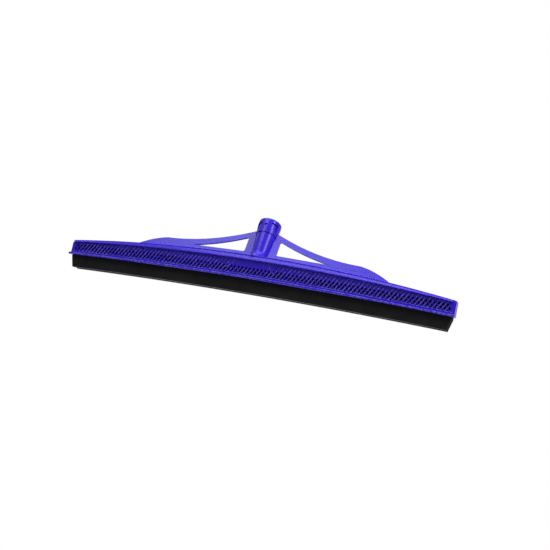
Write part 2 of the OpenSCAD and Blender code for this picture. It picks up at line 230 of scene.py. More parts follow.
class Graph:
    """A node tree that is filled through one method."""

    def __init__(self, tree: bpy.types.NodeTree) -> None:
        """Empties a node tree and keeps it."""
        tree.nodes.clear()
        self.tree = tree

    def add(self, kind: str, settings: Optional[dict[str, Any]] = None,
            inputs: Optional[dict[Union[int, str], Input]] = None,
            output: Union[int, str] = 0) -> Optional[Term]:
        """Adds a node.

        Args:
            kind: The node's type.
            settings: Properties that are set first.
            inputs: Values or links for the node's sockets.
            output: The socket that is returned.

        Returns:
            The chosen output, or None for a node without outputs.
        """
        node = self.tree.nodes.new(kind)
        for key, value in (settings or {}).items():
            setattr(node, key, value)
        for key, value in (inputs or {}).items():
            if isinstance(value, Term):
                self.tree.links.new(value.socket, node.inputs[key])
            else:
                node.inputs[key].default_value = value
        return Term(self, node.outputs[output]) if len(node.outputs) else None

    def place(self) -> Term:
        """Object coordinates, in metres."""
        return self.add("ShaderNodeTexCoord", output="Object")

    def noise(self, place: Term, scale: float, detail: float = 2.0, roughness: float = 0.5) -> Term:
        """Noise between 0 and 1 with a number of features per metre."""
        return self.add("ShaderNodeTexNoise", None,
                        {"Vector": place, "Scale": scale, "Detail": detail, "Roughness": roughness})

    def step(self, value: Term, start: float, end: float) -> Term:
        """Level that rises from 0 at start to 1 at end."""
        return self.add("ShaderNodeMapRange", {"interpolation_type": "SMOOTHSTEP"},
                        {"Value": value, "From Min": start, "From Max": end})

    def largest(self, *values: Input) -> Term:
        """Largest of some values."""
        setting = {"operation": "MAXIMUM"}
        return reduce(lambda a, b: self.add("ShaderNodeMath", setting, {0: a, 1: b}), values)

    def blend(self, share: Term, first: Union[Term, Colour], second: Union[Term, Colour]) -> Term:
        """Mixes two colours.

        Args:
            share: Share of the second colour.
            first, second: The colours.

        Returns:
            The mixed colour.
        """
        ends = {6: first, 7: second}
        inputs = {key: end if isinstance(end, Term) else (*end, 1.0) for key, end in ends.items()}
        return self.add("ShaderNodeMix", {"data_type": "RGBA"}, {0: share, **inputs}, output=2)

    def principled(self, inputs: dict[Union[int, str], Input]) -> None:
        """Ends a material with a Principled shader."""
        shader = self.add("ShaderNodeBsdfPrincipled", None, inputs)
        self.add("ShaderNodeOutputMaterial", None, {"Surface": shader})


def node_material(name: str) -> tuple[bpy.types.Material, Graph]:
    """Makes an empty node material.

    Args:
        name: The material's name.

    Returns:
        The material and the graph of its nodes.
    """
    made = bpy.data.materials.new(name)
    made.use_nodes = True
    return made, Graph(made.node_tree)


@dataclass(frozen=True)
class MouldedPlastic:
    """Satin moulded polypropylene with a fine grain, faint clouds and lighter edges: scuffs, and a painted
    highlight on rounded edges and beads.
    """

    name: str
    body: Colour = (0.023, 0.003, 0.48)
    cloud: Colour = (0.027, 0.005, 0.52)
    scuff_and_highlight: Colour = (0.22, 0.19, 0.66)
    gloss: float = 0.18
    grain_per_m: float = 2600.0
    cloud_per_m: float = 32.0
    scuff_per_m: float = 420.0
    streak_per_m: float = 60.0
    streak_stretch: tuple[float, float, float] = (0.25, 1.0, 4.0)
    wear_and_highlight_share: float = 0.7
    sheen: float = 0.23
    bump_m: float = 0.00005

    def material(self) -> bpy.types.Material:
        """Builds the finish.

        Returns:
            A node material for moulded pieces.
        """
        made, graph = node_material(self.name)
        place = graph.place()
        clouds = graph.noise(place, self.cloud_per_m, 3.0)
        grain = graph.noise(place, self.grain_per_m, 2.0)
        scuffs = graph.noise(place, self.scuff_per_m, 5.0, 0.65)
        along = graph.add("ShaderNodeMapping", None, {"Vector": place, "Scale": self.streak_stretch})
        streaks = graph.noise(along, self.streak_per_m, 4.0, 0.6)
        # Marked edges and beads turn lighter where the scuff noise is high: partly wear, partly a painted
        # highlight.
        edge = graph.add("ShaderNodeAttribute", {"attribute_name": WEAR_AND_HIGHLIGHT_EDGE}, output="Fac")
        wear_and_highlight = edge * graph.step(scuffs, 0.36, 0.62)
        body = graph.blend(graph.step(clouds, 0.35, 0.7), self.body, self.cloud)
        colour = graph.blend(wear_and_highlight * self.wear_and_highlight_share, body, self.scuff_and_highlight)
        rough = self.gloss + 0.10 * clouds + 0.06 * streaks + 0.05 * grain + 0.12 * wear_and_highlight
        bump = graph.add("ShaderNodeBump", None, {"Strength": 0.22, "Distance": self.bump_m,
                                                  "Height": grain + 0.6 * streaks})
        graph.principled({"Base Color": colour, "Roughness": rough, "Normal": bump,
                          "Specular IOR Level": self.sheen})
        return made


@dataclass(frozen=True)
class StripRubber:
    """Fine-celled black rubber: a closed skin, or the paler face of a cut, whose paleness is partly painted
    light for a shaded underside.
    """

    name: str
    body: Colour = (0.006, 0.006, 0.0064)
    dust: Colour = (0.013, 0.013, 0.0136)
    cell_per_m: float = 1500.0
    cell_depth_m: float = 0.00006
    cloud_per_m: float = 45.0
    fine_per_m: float = 4200.0
    dull: float = 0.62
    sheen: float = 0.08

    def material(self) -> bpy.types.Material:
        """Builds the finish.

        Returns:
            A node material for rubber.
        """
        made, graph = node_material(self.name)
        place = graph.place()
        cells = graph.add("ShaderNodeTexVoronoi", None, {"Vector": place, "Scale": self.cell_per_m})
        clouds = graph.noise(place, self.cloud_per_m, 4.0, 0.6)
        fine = graph.noise(place, self.fine_per_m, 2.0)
        colour = graph.blend(graph.step(clouds, 0.4, 0.75), self.body, self.dust)
        rough = self.dull + 0.12 * clouds + 0.06 * fine
        bump = graph.add("ShaderNodeBump", None, {"Strength": 0.35, "Distance": self.cell_depth_m,
                                                  "Height": cells + 0.4 * fine})
        graph.principled({"Base Color": colour, "Roughness": rough, "Normal": bump,
                          "Specular IOR Level": self.sheen})
        return made


@dataclass(frozen=True)
class ZincSteel:
    """Zinc plated steel with faint brush marks and a blue-grey bloom."""

    name: str
    bright: Colour = (0.62, 0.64, 0.67)
    bloom: Colour = (0.46, 0.48, 0.52)
    bloom_per_m: float = 380.0
    brush_per_m: float = 900.0
    brush_stretch: tuple[float, float, float] = (8.0, 1.0, 1.0)
    bump_m: float = 0.00003

    def material(self) -> bpy.types.Material:
        """Builds the finish.

        Returns:
            A node material for plated screws.
        """
        made, graph = node_material(self.name)
        place = graph.place()
        clouds = graph.noise(place, self.bloom_per_m, 4.0, 0.6)
        across = graph.add("ShaderNodeMapping", None, {"Vector": place, "Scale": self.brush_stretch})
        brush = graph.noise(across, self.brush_per_m, 3.0)
        colour = graph.blend(graph.step(clouds, 0.35, 0.7), self.bright, self.bloom)
        bump = graph.add("ShaderNodeBump", None, {"Strength": 0.15, "Distance": self.bump_m,
                                                  "Height": brush})
        graph.principled({"Base Color": colour, "Roughness": 0.26 + 0.2 * clouds, "Metallic": 1.0,
                          "Normal": bump})
        return made


def linked(name: str, data: bpy.types.ID) -> bpy.types.Object:
    """Puts an object into the scene.

    Args:
        name: The object's name.
        data: Its mesh, lamp or camera.

    Returns:
        The object.
    """
    thing = bpy.data.objects.new(name, data)
    bpy.context.scene.collection.objects.link(thing)
    return thing


class StripSide(Enum):
    """The two strips, by the face of the head that they lie behind."""

    FRONT = "front"
    REAR = "rear"


@dataclass
class SubAssembly:
    """What every part of the head shares: the frame, the sizes and a way to finish a mesh."""

    frame: dict[str, Any]
    sizes: HeadSizes

    def finished(self, name: str, bm: BMesh, finishes: Sequence[bpy.types.Material],
                 slot: str) -> bpy.types.Object:
        """Turns a bmesh into a smooth shaded object at the origin.

        Args:
            name: The piece's name.
            bm: The shape, in metres; it is freed.
            finishes: The materials, in the order of the faces' indices.
            slot: The record's material slot; not used.

        Returns:
            The linked object.
        """
        mesh = bpy.data.meshes.new(name)
        for face in bm.faces:
            face.smooth = True
        bm.to_mesh(mesh)
        bm.free()
        for finish in finishes:
            mesh.materials.append(finish)
        piece = linked(name, mesh)
        log.info("%s: %d faces", name, len(mesh.polygons))
        return piece


@dataclass
class Moulding(SubAssembly):
    """A plastic moulding, which is fixed to the head and replaces its node."""

    node: str = ""
    slot: str = "head_plastic"

    def build(self) -> BMesh:
        """Shapes the moulding, in metres; each kind has its own way."""
        raise NotImplementedError

    def dress(self, plastic: bpy.types.Material) -> bpy.types.Object:
        """Builds the moulding, keeps its corners crisp and fixes it to the head.

        Args:
            plastic: Finish of the moulding.

        Returns:
            The moulding.
        """
        piece = self.finished(f"{self.node}_moulding", self.build(), (plastic,), self.slot)
        piece.data.set_sharp_from_angle(angle=math.radians(CREASE_DEG))
        shading = piece.modifiers.new("even_shading", "WEIGHTED_NORMAL")
        shading.keep_sharp = True
        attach(piece, "head")
        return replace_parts(piece, self.node)


def new_verts(geom: Sequence[Any]) -> list[bmesh.types.BMVert]:
    """The points among what an operator made."""
    return [item for item in geom if isinstance(item, bmesh.types.BMVert)]


def new_edges(geom: Sequence[Any]) -> list[bmesh.types.BMEdge]:
    """The edges among what an operator made."""
    return [item for item in geom if isinstance(item, bmesh.types.BMEdge)]


def sharp_edges(bm: BMesh, angle: float) -> list[bmesh.types.BMEdge]:
    """Edges whose two faces turn by more than an angle."""
    limit = math.radians(angle)
    return [edge for edge in bm.edges if edge.is_manifold and edge.calc_face_angle() > limit]


def rounded(bm: BMesh, edges: Sequence[bmesh.types.BMEdge], radius: float, segments: int = 2) -> None:
    """Rounds edges and marks the rounding's faces, which the plastic paints lighter: scuffs and a painted
    highlight.

    Args:
        bm: The shape, in metres.
        edges: The edges to round.
        radius: Width of the rounding.
        segments: Faces across the rounding.
    """
    wear_and_highlight = bm.faces.layers.float.get(WEAR_AND_HIGHLIGHT_EDGE) or bm.faces.layers.float.new(WEAR_AND_HIGHLIGHT_EDGE)
    made = bmesh.ops.bevel(bm, geom=list(edges), offset=radius * MM, offset_type="OFFSET",
                           segments=segments, profile=0.5, affect="EDGES", clamp_overlap=True, material=-1)
    for face in made["faces"]:
        face[wear_and_highlight] = 1.0


def absorb(bm: BMesh, other: BMesh) -> None:
    """Adds another shape to a shape.

    Args:
        bm: The shape that grows.
        other: What is added; it is freed.
    """
    mesh = bpy.data.meshes.new("absorbed")
    other.to_mesh(mesh)
    other.free()
    bm.from_mesh(mesh)
    bpy.data.meshes.remove(mesh)


def edges_along(bm: BMesh) -> list[bmesh.types.BMEdge]:
    """Edges that run along X."""
    return [edge for edge in bm.edges if abs(edge.verts[0].co.x - edge.verts[1].co.x) > 0.1]


def arched_slab(bm: BMesh, x0: float, x1: float, y0: float, y1: float, low: Curve, high: Curve,
                cuts: int = 0) -> None:
    """Adds a slab along X, in millimetres, whose underside and top follow two curves.

    Args:
        bm: The shape that it goes into.
        x0, x1: Its ends.
        y0, y1: Its front and back.
        low: Height of its underside over X.
        high: Height of its top over X.
        cuts: Cross cuts between its ends, so that it can follow the curves.
    """
    slab = bmesh.new()
    bmesh.ops.create_cube(slab, size=1.0)
    if cuts:
        bmesh.ops.subdivide_edges(slab, edges=edges_along(slab), cuts=cuts, use_grid_fill=True)
    for vert in slab.verts:
        x = x0 + (vert.co.x + 0.5) * (x1 - x0)
        y = y0 + (vert.co.y + 0.5) * (y1 - y0)
        vert.co = (x, y, high(x) if vert.co.z > 0 else low(x))
    absorb(bm, slab)


def top_bar(sizes: HeadSizes, x0: float, x1: float, cuts: int, corner: float = 0.0) -> BMesh:
    """Shapes a length of the top bar: a narrow top edge, a step, and a face that slopes out below it.

    Args:
        sizes: The head's sizes.
        x0, x1: Its ends.
        cuts: Cross cuts between its ends.
        corner: Cut of its corners at x1, seen from above; 0 for a square end on the bracket's seat.

    Returns:
        The bar, in metres.
    """
    bar = bmesh.new()
    front = [(-sizes.bar_half + inset, -share * sizes.bar_mid_h) for inset, share in sizes.bar_steps]
    outline = [*front, *((-y, z) for y, z in reversed(front))]
    corners = [bar.verts.new((x0, y, z)) for y, z in outline]
    section = bmesh.ops.contextual_create(bar, geom=corners)["faces"]
    far = bmesh.ops.extrude_face_region(bar, geom=section)["geom"]
    bmesh.ops.translate(bar, verts=new_verts(far), vec=(x1 - x0, 0, 0))
    bmesh.ops.recalc_face_normals(bar, faces=bar.faces[:])
    bmesh.ops.bevel(bar, geom=edges_along(bar), offset=sizes.bar_round, offset_type="OFFSET", segments=4,
                    profile=0.5, affect="EDGES", material=-1)
    bmesh.ops.subdivide_edges(bar, edges=edges_along(bar), cuts=cuts, use_grid_fill=True)
    for turn in (-1, 1) if corner else ():
        bmesh.ops.bisect_plane(bar, geom=[*bar.verts, *bar.edges, *bar.faces], clear_outer=True,
                               plane_co=(x1 - corner, turn * sizes.bar_half, 0), plane_no=(1, turn, 0))
        bmesh.ops.holes_fill(bar, edges=[edge for edge in bar.edges if edge.is_boundary], sides=0)
    for vert in bar.verts:
        x = vert.co.x
        height = sizes.bar_h(x) if corner else sizes.top_z(x) - sizes.seat_z
        z = sizes.top_z(x) + vert.co.z / sizes.bar_mid_h * height
        vert.co = Vector((x, vert.co.y + sizes.mid_y, z)) * MM
    bmesh.ops.recalc_face_normals(bar, faces=bar.faces[:])
    return bar


def put_in_frame(bm: BMesh, sizes: HeadSizes) -> None:
    """Moves a shape from the head's own middle into the frame, and turns millimetres into metres."""
    for vert in bm.verts:
        vert.co = (vert.co + Vector((0, sizes.mid_y, 0))) * MM
    bmesh.ops.recalc_face_normals(bm, faces=bm.faces[:])


def mirrored(bm: BMesh) -> BMesh:
    """Copies a shape with left and right exchanged.

    Args:
        bm: The shape.

    Returns:
        Its mirror image.
    """
    twin = bm.copy()
    bmesh.ops.scale(twin, vec=(-1, 1, 1), verts=twin.verts[:])
    bmesh.ops.reverse_faces(twin, faces=twin.faces[:])
    return twin


def lofted(bm: BMesh, rings: Sequence[Sequence[Vector]]) -> None:
    """Adds a closed skin through rings, with a flat face at either end.

    Args:
        bm: The shape that it goes into.
        rings: Rings of as many points each.
    """
    loops = []
    for ring in rings:
        verts = [bm.verts.new(point) for point in ring]
        loops.append([bm.edges.new((verts[k - 1], verts[k])) for k in range(len(verts))])
    for first, second in zip(loops, loops[1:]):
        bmesh.ops.bridge_loops(bm, edges=[*first, *second])
    for loop in (loops[0], loops[-1]):
        bmesh.ops.contextual_create(bm, geom=loop)
    bmesh.ops.recalc_face_normals(bm, faces=bm.faces[:])


def drilled(bm: BMesh, drill: BMesh) -> BMesh:
    """Takes one shape out of another; both are freed.

    Args:
        bm: The shape that is cut.
        drill: What is taken out.

    Returns:
        The shape that is left.
    """
    solids = []
    for name, shape in (("drilled_solid", bm), ("drill", drill)):
        mesh = bpy.data.meshes.new(name)
        shape.to_mesh(mesh)
        shape.free()
        solids.append(linked(name, mesh))
    cut = solids[0].modifiers.new("cut", "BOOLEAN")
    cut.operation = "DIFFERENCE"
    cut.object = solids[1]
    left = bmesh.new()
    left.from_object(solids[0], bpy.context.evaluated_depsgraph_get())
    for solid in solids:
        bpy.data.meshes.remove(solid.data)
    return left


@dataclass
class RubberStrip(SubAssembly):
    """One rubber strip, whole from its held edge to its arched lower edge."""

    side: StripSide
    columns: int = 120
    rows: int = 40
    edge_round: float = 0.4
    bend_above: float = 1.8
    bend_below: float = 6.5
    underside_normal_z: float = -0.7

    @property
    def middle_y(self) -> float:
        """Place of the strip's middle plane."""
        offset = -self.sizes.strip_y if self.side is StripSide.FRONT else self.sizes.strip_y
        return self.sizes.mid_y + offset

    def build(self) -> BMesh:
        """Shapes the strip from a grid that is bent to its outline and given its thickness.

        Returns:
            The strip, with its cut underside on material 1.
        """
        sizes = self.sizes
        bm = bmesh.new()
        bmesh.ops.create_grid(bm, x_segments=self.columns, y_segments=self.rows, size=1.0)
        for vert in bm.verts:
            across = vert.co.x
            up = (vert.co.y + 1) / 2
            low = sizes.strip_arch * (1 - across ** 2)
            high = sizes.grip_z(across * sizes.strip_half)
            z = low + up * (high - low)
            half = sizes.strip_half - sizes.strip_slant * max(0.0, 1 - z / sizes.flex_z)
            vert.co = Vector((across * half, self.middle_y - sizes.strip_t / 2, z)) * MM
        back = bmesh.ops.extrude_face_region(bm, geom=bm.faces[:])["geom"]
        bmesh.ops.translate(bm, verts=new_verts(back), vec=(0, sizes.strip_t * MM, 0))
        bmesh.ops.recalc_face_normals(bm, faces=bm.faces[:])
        for face in bm.faces:
            face.material_index = 1 if face.normal.z < self.underside_normal_z else 0
        rounded(bm, sharp_edges(bm, 50), self.edge_round, 3)
        return bm

    def dress(self, skin: bpy.types.Material, cut: bpy.types.Material) -> bpy.types.Object:
        """Builds the strip and gives it its finishes.

        Args:
            skin: Finish of the strip's faces.
            cut: Finish of its cut underside, whose pale grey is partly painted light on a shaded underside.

        Returns:
            The strip.
        """
        side = self.side.value
        piece = self.finished(f"rubber_strip_{side}", self.build(), (skin, cut), "strip_rubber")
        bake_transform(piece)
        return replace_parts(piece, f"{side}_strip_root", f"{side}_strip_lip")


@dataclass
class BeamCore(Moulding):
    """The top bar in two halves, the walls behind the grilles, the double web and its ribs."""

    node: str = "beam_core"
    bar_cuts: int = 40
    wall_cuts: int = 60
    hub_cuts: int = 8
    end_margin: float = 4.0
    edge_round: float = 0.3

    @property
    def hub(self) -> float:
        """Half the width of the block under the bracket."""
        return self.sizes.saddle_w / 2 + self.sizes.wall_t

    def under_bar(self, x: float) -> float:
        """Height of the walls' top, inside the top bar or on the bracket's seat."""
        limit = self.sizes.seat_z if abs(x) < self.hub else self.sizes.top_mid_z
        return min(self.sizes.bar_low(x) + self.sizes.bar_end_h / 3, limit)

    def build(self) -> BMesh:
        """Shapes the core.

        Returns:
            The core, in metres.
        """
        sizes = self.sizes
        bm = bmesh.new()
        end = sizes.strip_half + sizes.fit + sizes.wall_t
        walls = bmesh.new()
        for turn in (-1, 1):
            for inner, outer, low in ((sizes.grille_in - sizes.wall_t, sizes.grille_in, sizes.block_low),
                                      (sizes.web_half - sizes.web_t, sizes.web_half, sizes.web_low)):
                arched_slab(walls, -end, end, turn * inner, turn * outer, low, self.under_bar,
                            self.wall_cuts)
        count = int((sizes.half_len - self.end_margin) // sizes.cross_pitch)
        for k in range(-count, count + 1):
            reach, cuts = (sizes.cross_t / 2, 0) if k else (self.hub, self.hub_cuts)
            x = k * sizes.cross_pitch
            for half, low in ((sizes.grille_in - sizes.wall_t / 2, sizes.block_low),
                              (sizes.web_half, sizes.web_low)):
                arched_slab(walls, x - reach, x + reach, -half, half, low, self.under_bar, cuts)
        for turn in (-1, 1):
            arched_slab(walls, turn * end, turn * (end - sizes.wall_t), -sizes.grille_in, sizes.grille_in,
                        sizes.web_low, self.under_bar)
        put_in_frame(walls, sizes)
        rounded(walls, sharp_edges(walls, 50), self.edge_round, 1)
        absorb(bm, walls)
        half = top_bar(sizes, sizes.saddle_w / 2 + sizes.fit, sizes.half_len - sizes.bar_inset,
                       self.bar_cuts, sizes.bar_corner)
        rounded(half, sharp_edges(half, 60), self.edge_round)
        absorb(bm, mirrored(half))
        absorb(bm, half)
        return bm


@dataclass
class EdgedMoulding(Moulding):
    """A moulding whose solid has the right shape and only needs its edges rounded."""

    edge_round: float = 0.2
    weld: float = 0.002
    speck: float = 0.001
    flat_angle: float = 1.0

    def soft_edges(self, bm: BMesh) -> None:
        """Rounds the edges that are softer than the rest; a plain moulding has none."""

    def sharp(self, bm: BMesh) -> list[bmesh.types.BMEdge]:
        """The edges that get the usual rounding."""
        return sharp_edges(bm, 25)

    def build(self) -> BMesh:
        """Joins the loose triangles of a copy of the solid and rounds its edges.

        Returns:
            The moulding, in metres.
        """
        bm = bmesh.new()
        bm.from_mesh(self.frame["nodes"][self.node].data)
        bmesh.ops.remove_doubles(bm, verts=bm.verts[:], dist=self.weld * MM)
        bmesh.ops.dissolve_degenerate(bm, dist=self.speck * MM, edges=bm.edges[:])
        bmesh.ops.dissolve_limit(bm, angle_limit=math.radians(self.flat_angle), verts=bm.verts[:],
                                 edges=bm.edges[:], delimit={"NORMAL"})
        self.soft_edges(bm)
        rounded(bm, self.sharp(bm), self.edge_round)
        return bm


@dataclass
class Grille(EdgedMoulding):
    """A pierced grille above a flange: the ribs that lean to the right stand out, the others lie deeper."""

    front: bool = True
    flange_out: float = 3.3
    flange_round: float = 0.9
    flange_margin: float = 1.0
    band_h: float = 5.0
    cell_pitch: float = 5.5
    row_pitch: float = 4.2
    rib_w: float = 1.3
    layer_t: float = 1.2
    bead_r: float = 0.6
    bead_sides: int = 10
    line_r: float = 0.5
    band_steps: int = 80
    apron_steps: int = 10
    apron_turn: float = 75.0
    channel_ends: float = 1.0
    sheet_gap: float = 0.2
    sheet_depth: float = 0.8
    end_margin: float = 4.0
    apron_r: float = 12.5
    pad_r: float = 4.9

    @property
    def side(self) -> int:
        """-1 for the front grille and 1 for the rear one."""
        return -1 if self.front else 1

    def plain(self, x: float, z: float) -> bool:
        """Tells where there are no diamonds.

        Args:
            x, z: A place on the grille.

        Returns:
            Whether it lies on the apron below the socket, or on a screw's pad at the rear.
        """
        sizes = self.sizes
        if not self.front:
            return any(math.hypot(x - pad, z - sizes.screw_z(pad)) < self.pad_r for pad in sizes.clamp_xs)
        half = sizes.saddle_w / 2
        rim = math.hypot(abs(x) - half - self.apron_r, z - sizes.bar_low(half))
        curved = rim > self.apron_r - self.cell_pitch / 2
        near = abs(x) < half + self.apron_r + self.cell_pitch / 2
        return z > sizes.grip_z(x) and near and (abs(x) < half or curved)

    def pierced(self, x: float, z: float) -> bool:
        """Whether a whole or half diamond has its middle at a place."""
        inside = abs(x) < self.sizes.half_len - self.end_margin - self.cell_pitch
        return inside and z < self.sizes.bar_low(x) + self.rib_w and not self.plain(x, z)

    def neighbours(self) -> list[tuple[tuple[float, float], tuple[float, float]]]:
        """Finds the diamonds that have another one up and to the right.

        Returns:
            The middles of each such pair.
        """
        sizes = self.sizes
        columns = int(sizes.half_len // self.cell_pitch)
        rows = int((sizes.top_mid_z - sizes.flange_mid_z) // self.row_pitch)
        pairs = []
        for row in range(rows):
            for column in range(-columns, columns):
                x = (column + row % 2 / 2) * self.cell_pitch
                x1 = x + self.cell_pitch / 2
                z, z1 = (sizes.flange_z(a) + self.band_h + k * self.row_pitch
                         for a, k in ((x, row), (x1, row + 1)))
                if self.pierced(x, z) and self.pierced(x1, z1):
                    pairs.append(((x, z), (x1, z1)))
        return pairs

    def channels(self) -> BMesh:
        """Shapes the blocks that take the outer layer off the ribs that lean to the left.

        Returns:
            The blocks, in metres.
        """
        sizes = self.sizes
        outer = self.side * sizes.grille_out
        half_w, half_h = self.cell_pitch / 2, self.row_pitch
        length = math.hypot(half_w, half_h)
        width = 2 * half_w * half_h / length - self.rib_w
        block = bmesh.new()
        for (x, z), (x1, z1) in self.neighbours():
            place = Matrix.Translation(((x + x1) / 2, sizes.mid_y + outer, (z + z1) / 2))
            tilt = Matrix.Rotation(-math.atan2(z1 - z, half_w), 4, "Y")
            size = Matrix.Diagonal((length - self.channel_ends, 2 * self.layer_t, width, 1.0))
            bmesh.ops.create_cube(block, size=1.0, matrix=Matrix.Scale(MM, 4) @ place @ tilt @ size)
        return block

    def apron_edge(self, side: int) -> list[tuple[float, float]]:
        """Follows the apron's round edge.

        Args:
            side: -1 for its left edge and 1 for its right one.

        Returns:
            Points from the bar downwards.
        """
        half = self.sizes.saddle_w / 2
        turns = (math.radians(self.apron_turn) * k / self.apron_steps for k in range(self.apron_steps + 1))
        return [(side * (half + self.apron_r * (1 - math.cos(turn))),
                 self.sizes.bar_low(half) - self.apron_r * math.sin(turn)) for turn in turns]

    def band_edge(self) -> list[tuple[float, float]]:
        """Follows the upper edge of the band below the diamonds.

        Returns:
            Points from the left to the right.
        """
        reach = self.sizes.half_len - self.end_margin
        places = (reach * (2 * k / self.band_steps - 1) for k in range(self.band_steps + 1))
        return [(x, self.sizes.flange_z(x) + self.band_h) for x in places]

    def beads(self) -> BMesh:
        """Shapes round fronts for the outer ribs, and thin beads along the band and the apron's edges, all
        painted lighter as a highlight.

        Returns:
            The beads, in metres.
        """
        half_w = self.cell_pitch / 2
        runs = [(self.bead_r, [(x + half_w, z), (x1 + half_w, z1)])
                for (x, z), (x1, z1) in self.neighbours()]
        runs.append((self.line_r, self.band_edge()))
        if self.front:
            runs += [(self.line_r, self.apron_edge(side)) for side in (-1, 1)]
        y = self.sizes.mid_y + self.side * self.sizes.grille_out
        bead = bmesh.new()
        for radius, points in runs:
            places = [Vector((x, y, z)) * MM for x, z in points]
            for start, end in zip(places, places[1:]):
                turn = (end - start).to_track_quat("Z", "Y").to_matrix().to_4x4()
                place = Matrix.Translation((start + end) / 2) @ turn
                bmesh.ops.create_cone(bead, cap_ends=True, segments=self.bead_sides, radius1=radius * MM,
                                      radius2=radius * MM, depth=(end - start).length, matrix=place)
        # Every bead face is marked, so the plastic paints the whole bead lighter as a highlight.
        wear_and_highlight = bead.faces.layers.float.new(WEAR_AND_HIGHLIGHT_EDGE)
        for face in bead.faces:
            face[wear_and_highlight] = 1.0
        return bead

    def sheet(self) -> BMesh:
        """Shapes a sheet that closes the diamonds above the strip from behind.

        Returns:
            The sheet, in metres.
        """
        sizes = self.sizes
        sheet = bmesh.new()
        inner = self.side * (sizes.grille_in + self.sheet_gap)
        outer = self.side * (sizes.grille_out - self.sheet_depth)
        arched_slab(sheet, -sizes.strip_half, sizes.strip_half, inner, outer, sizes.grip_z, sizes.bar_low,
                    self.band_steps)
        put_in_frame(sheet, sizes)
        return sheet

    def build(self) -> BMesh:
        """Rounds the edges of a copy of the solid, cuts its ribs into two layers and rounds the outer ribs.

        Returns:
            The grille, in metres.
        """
        bm = drilled(super().build(), self.channels())
        for shape in (self.beads(), self.sheet()):
            absorb(bm, shape)
        return bm

    def soft_edges(self, bm: BMesh) -> None:
        """Rounds the outer edges of the flange.

        Args:
            bm: The grille.
        """
        sizes = self.sizes
        reach = (sizes.grille_out + self.flange_out / 2) * MM
        top = (sizes.flange_mid_z + sizes.flange_h + self.flange_margin) * MM
        outer = [edge for edge in sharp_edges(bm, 50)
                 if all(abs(vert.co.y - sizes.mid_y * MM) > reach and vert.co.z < top
                        for vert in edge.verts)]
        rounded(bm, outer, self.flange_round, 3)


@dataclass
class SocketCollar(EdgedMoulding):
    """The cap on the socket's end, whose lower rim is well rounded."""

    node: str = "socket_collar"
    slot: str = "collar_plastic"
    edge_round: float = 0.35
    rim_round: float = 1.3
    rim_slack: float = 0.3
    rim_least_r: float = 15.0

    @property
    def axis(self) -> Vector:
        """Direction of the socket's axis."""
        lean = math.radians(self.sizes.lean)
        return Vector((0, math.sin(lean), math.cos(lean)))

    def from_foot(self, vert: bmesh.types.BMVert) -> Vector:
        """Place of a point, from where the socket's axis meets the floor, in metres."""
        return vert.co - Vector((0, self.sizes.mid_y + self.sizes.axis_back, 0)) * MM

    def on_rim(self, edge: bmesh.types.BMEdge) -> bool:
        """Whether an edge lies on the lower rim."""
        heights = (self.from_foot(vert).dot(self.axis) for vert in edge.verts)
        return all(abs(height - self.sizes.collar_s * MM) < self.rim_slack * MM for height in heights)

    def on_outside(self, edge: bmesh.types.BMEdge) -> bool:
        """Whether an edge lies well away from the socket's axis."""
        reach = self.rim_least_r * MM
        return all(self.from_foot(vert).cross(self.axis).length > reach for vert in edge.verts)

    def soft_edges(self, bm: BMesh) -> None:
        """Rounds the outer edge of the lower rim."""
        outer = [edge for edge in sharp_edges(bm, 50) if self.on_rim(edge) and self.on_outside(edge)]
        rounded(bm, outer, self.rim_round, 4)

    def sharp(self, bm: BMesh) -> list[bmesh.types.BMEdge]:
        """All sharp edges but those of the lower rim."""
        return [edge for edge in sharp_edges(bm, 25) if not self.on_rim(edge)]


@dataclass(frozen=True)
class RootShape:
    """The fillet at the tube's foot: from a wall on the bar over a knee to a lap and a join on the tube."""

    wide: float = 0.7
    reach: float = 12.8
    flare: float = 3.0
    wall_drop: float = 0.3
    wall_drop_rear: float = 6.9
    knee_wide: float = 0.4
    knee_back_front: float = 4.2
    knee_back_rear: float = 3.1
    knee_rise: float = 0.1
    knee_drop_rear: float = 6.2
    lap_drop: float = 1.3
    lap_drop_front: float = 3.0
    lap_drop_rear: float = 0.7
    lap_skin: float = 0.3
    join_rise: float = 4.0
    join_skin: float = 0.05
    seat_gap: float = 0.05
    inner_wall: float = 0.6
    inner_rise: float = 3.5
    steps: int = 18


